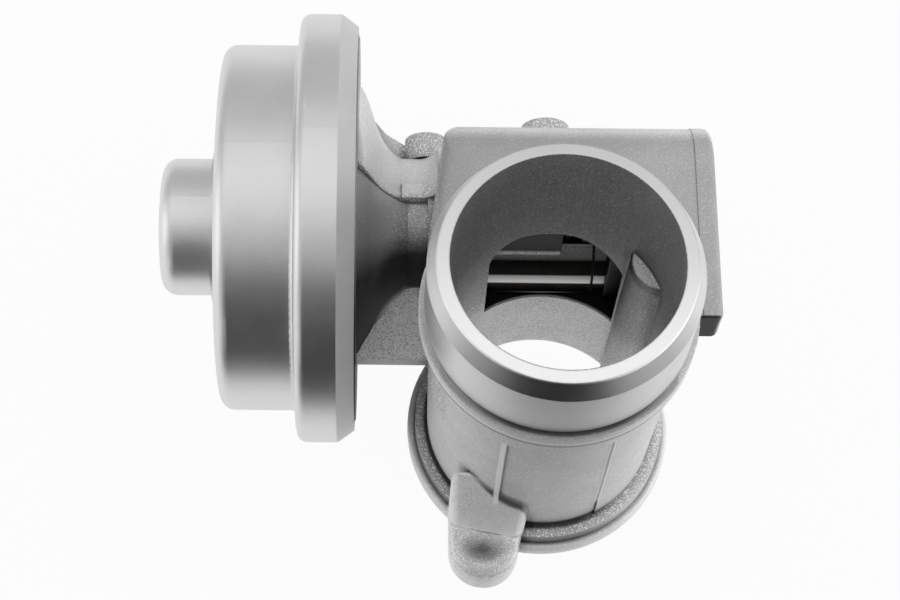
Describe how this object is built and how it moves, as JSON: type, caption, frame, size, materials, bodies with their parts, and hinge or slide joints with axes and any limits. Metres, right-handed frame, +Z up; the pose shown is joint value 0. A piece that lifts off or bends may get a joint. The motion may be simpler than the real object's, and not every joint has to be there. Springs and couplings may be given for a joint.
{
  "type": "egr valve",
  "caption": "Vacuum-operated exhaust gas recirculation valve with a cast air tube, a gas box and a diaphragm actuator.",
  "frame": {"origin": "centre of the manifold flange's underside, on the air tube's axis", "axes": "+Z up the air tube to the hose spigot, +X along the valve stem away from the actuator, +Y towards the gas box"},
  "size_m": [0.1207, 0.1236, 0.114],
  "materials": {
    "cast_aluminium": "shot-blasted die casting, machined spigot",
    "cast_aluminium_neck": "shot-blasted die casting",
    "plated_steel": "satin zinc plate",
    "plated_steel_fittings": "satin zinc plate",
    "polished_steel": "polished, heat darkened",
    "polished_steel_seat": "ground",
    "bright_steel": "ground",
    "bronze": "turned",
    "graphite_gasket": "matt",
    "rubber": "matt",
    "spring_steel": "drawn wire"
  },
  "bodies": {
    "housing": {"valve_housing": "cast_aluminium", "gas_sleeve": "polished_steel", "seat_gasket": "graphite_gasket", "valve_seat": "polished_steel_seat", "stem_guide": "bronze", "stem_seal": "rubber", "seal_cup": "plated_steel_fittings", "actuator_base": "cast_aluminium_neck", "heat_shield": "plated_steel_fittings", "actuator_cover": "plated_steel", "vacuum_nipple": "plated_steel_fittings", "diaphragm": "rubber", "return_spring": "spring_steel", "spring_seat": "plated_steel_fittings", "stop_bumper": "rubber"},
    "valve": {"valve_stem": "bright_steel", "poppet_disc": "bright_steel", "piston_plate": "plated_steel_fittings", "backing_plate": "plated_steel_fittings", "stem_nut": "plated_steel_fittings"}
  },
  "joints": [
    {"name": "valve_lift", "type": "slide", "parent": "housing", "child": "valve", "axis": [-1, 0, 0], "range_m": [0, 0.007], "stiffness_N_per_m": 2500, "springref_m": -0.012, "deforming": ["return_spring", "diaphragm"]}
  ]
}
